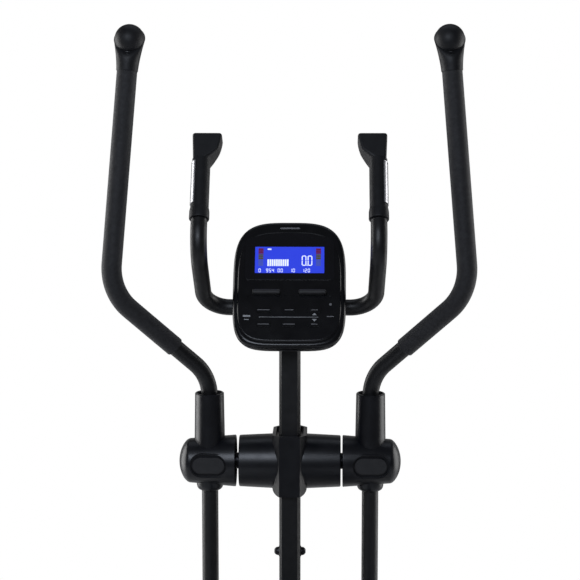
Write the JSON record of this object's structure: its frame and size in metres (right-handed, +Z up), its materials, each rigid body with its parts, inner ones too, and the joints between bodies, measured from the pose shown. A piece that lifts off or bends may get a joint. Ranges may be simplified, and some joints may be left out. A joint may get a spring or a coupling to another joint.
{
  "type": "elliptical trainer",
  "caption": "Rear-drive magnetic elliptical trainer: swing arms with foam grips, foot plates on cranks, fixed pulse handlebar, console on a post, cased flywheel, stabilisers.",
  "frame": {"origin": "on the floor, under the middle of the machine", "axes": "+Z up, +Y to the front of the machine, the way the user faces, +X to the user's right"},
  "size_m": [0.6974, 1.332, 1.696],
  "materials": {
    "powder_coat": "satin black powder coat",
    "satin_plastic": "satin black moulded plastic",
    "matt_plastic": "fine-grained black",
    "foam": "matt foam",
    "rubber": "matt black",
    "steel": "turned",
    "dark_steel": "blackened",
    "pulse_metal": "polished",
    "lens_plastic": "dark tinted window",
    "circuit_board": "solder mask"
  },
  "bodies": {
    "frame": {"base_frame": "powder_coat", "front_stabiliser": "powder_coat", "rear_stabiliser": "powder_coat", "front_end_cap_right": "rubber", "front_end_cap_left": "rubber", "upper_post": "powder_coat", "post_bolt": "dark_steel", "arm_axle": "dark_steel", "tee_cover_rear": "satin_plastic", "tee_cover_front": "satin_plastic", "fixed_handlebar": "powder_coat", "handlebar_clamp": "dark_steel", "fixed_grip_right": "matt_plastic", "fixed_grip_left": "matt_plastic", "pulse_plate_right": "pulse_metal", "pulse_plate_left": "pulse_metal", "casing_right": "satin_plastic", "casing_left": "satin_plastic", "console_front": "satin_plastic", "console_back": "matt_plastic", "console_lens": "lens_plastic", "circuit_board": "circuit_board", "drive_belt": "rubber"},
    "crank": {"crankset": "dark_steel", "crank_disc_right": "satin_plastic", "crank_disc_left": "satin_plastic", "drive_pulley": "matt_plastic"},
    "flywheel": {"flywheel": "steel"},
    "brake": {"brake_bracket": "dark_steel"},
    "right_arm": {"lower_arm_right": "powder_coat", "arm_bushing_right": "matt_plastic", "hub_cover_right": "satin_plastic", "hub_plug_right": "matt_plastic", "handlebar_right": "powder_coat", "foam_grip_right": "foam", "grip_cap_right": "matt_plastic", "lower_pivot_bolt_right": "steel"},
    "left_arm": {"lower_arm_left": "powder_coat", "arm_bushing_left": "matt_plastic", "hub_cover_left": "satin_plastic", "hub_plug_left": "matt_plastic", "handlebar_left": "powder_coat", "foam_grip_left": "foam", "grip_cap_left": "matt_plastic", "lower_pivot_bolt_left": "steel"},
    "right_pedal": {"pedal_bar_right": "powder_coat", "foot_pedal_right": "matt_plastic"},
    "left_pedal": {"pedal_bar_left": "powder_coat", "foot_pedal_left": "matt_plastic"},
    "right_transport_wheel": {"transport_wheel_right": "rubber"},
    "left_transport_wheel": {"transport_wheel_left": "rubber"},
    "right_levelling_cap": {"levelling_cap_right": "rubber"},
    "left_levelling_cap": {"levelling_cap_left": "rubber"},
    "start_key": {"start_key": "matt_plastic"},
    "mode_key": {"mode_key": "matt_plastic"},
    "up_key": {"up_key": "matt_plastic"},
    "recovery_key": {"recovery_key": "matt_plastic"},
    "reset_key": {"reset_key": "matt_plastic"},
    "down_key": {"down_key": "matt_plastic"}
  },
  "joints": [
    {"name": "crank_spin", "type": "hinge", "parent": "frame", "child": "crank", "pos_m": [0, -0.344, 0.3], "axis": [1, 0, 0], "continuous": true},
    {"name": "flywheel_spin", "type": "hinge", "parent": "frame", "child": "flywheel", "pos_m": [0, -0.079, 0.25], "axis": [1, 0, 0], "continuous": true},
    {"name": "brake_adjust", "type": "hinge", "parent": "frame", "child": "brake", "pos_m": [0, -0.00266, 0.15229], "axis": [1, 0, 0], "range_deg": [-5, 0]},
    {"name": "right_arm_swing", "type": "hinge", "parent": "frame", "child": "right_arm", "pos_m": [0.1555, 0.376, 0.86], "axis": [1, 0, 0], "range_deg": [-14.4, 14.4]},
    {"name": "left_arm_swing", "type": "hinge", "parent": "frame", "child": "left_arm", "pos_m": [-0.1555, 0.376, 0.86], "axis": [1, 0, 0], "range_deg": [-14.4, 14.4]},
    {"name": "right_pedal_pivot", "type": "hinge", "parent": "right_arm", "child": "right_pedal", "pos_m": [0.1555, 0.376, 0.3], "axis": [1, 0, 0], "range_deg": [-14.4, 14.4]},
    {"name": "left_pedal_pivot", "type": "hinge", "parent": "left_arm", "child": "left_pedal", "pos_m": [-0.1555, 0.376, 0.3], "axis": [1, 0, 0], "range_deg": [-14.4, 14.4]},
    {"name": "right_transport_wheel_roll", "type": "hinge", "parent": "frame", "child": "right_transport_wheel", "pos_m": [0.262, 0.64, 0.036], "axis": [1, 0, 0], "continuous": true},
    {"name": "left_transport_wheel_roll", "type": "hinge", "parent": "frame", "child": "left_transport_wheel", "pos_m": [-0.262, 0.64, 0.036], "axis": [1, 0, 0], "continuous": true},
    {"name": "right_levelling_turn", "type": "hinge", "parent": "frame", "child": "right_levelling_cap", "pos_m": [0.265, -0.624, 0.042], "axis": [1, 0, 0], "range_deg": [-180, 180]},
    {"name": "left_levelling_turn", "type": "hinge", "parent": "frame", "child": "left_levelling_cap", "pos_m": [-0.265, -0.624, 0.042], "axis": [1, 0, 0], "range_deg": [-180, 180]},
    {"name": "start_key_press", "type": "slide", "parent": "frame", "child": "start_key", "axis": [0, 0.848, -0.5299], "range_m": [0, 0.0012], "stiffness_N_per_m": 300},
    {"name": "mode_key_press", "type": "slide", "parent": "frame", "child": "mode_key", "axis": [0, 0.848, -0.5299], "range_m": [0, 0.0012], "stiffness_N_per_m": 300},
    {"name": "up_key_press", "type": "slide", "parent": "frame", "child": "up_key", "axis": [0, 0.848, -0.5299], "range_m": [0, 0.0012], "stiffness_N_per_m": 300},
    {"name": "recovery_key_press", "type": "slide", "parent": "frame", "child": "recovery_key", "axis": [0, 0.848, -0.5299], "range_m": [0, 0.0012], "stiffness_N_per_m": 300},
    {"name": "reset_key_press", "type": "slide", "parent": "frame", "child": "reset_key", "axis": [0, 0.848, -0.5299], "range_m": [0, 0.0012], "stiffness_N_per_m": 300},
    {"name": "down_key_press", "type": "slide", "parent": "frame", "child": "down_key", "axis": [0, 0.848, -0.5299], "range_m": [0, 0.0012], "stiffness_N_per_m": 300}
  ],
  "couplings": [
    {"joint": "flywheel_spin", "follows": "crank_spin", "ratio": 8.125},
    {"joint": "left_arm_swing", "follows": "right_arm_swing", "ratio": -1},
    {"joint": "right_pedal_pivot", "follows": "right_arm_swing", "ratio": -1},
    {"joint": "left_pedal_pivot", "follows": "right_arm_swing", "ratio": 1}
  ]
}
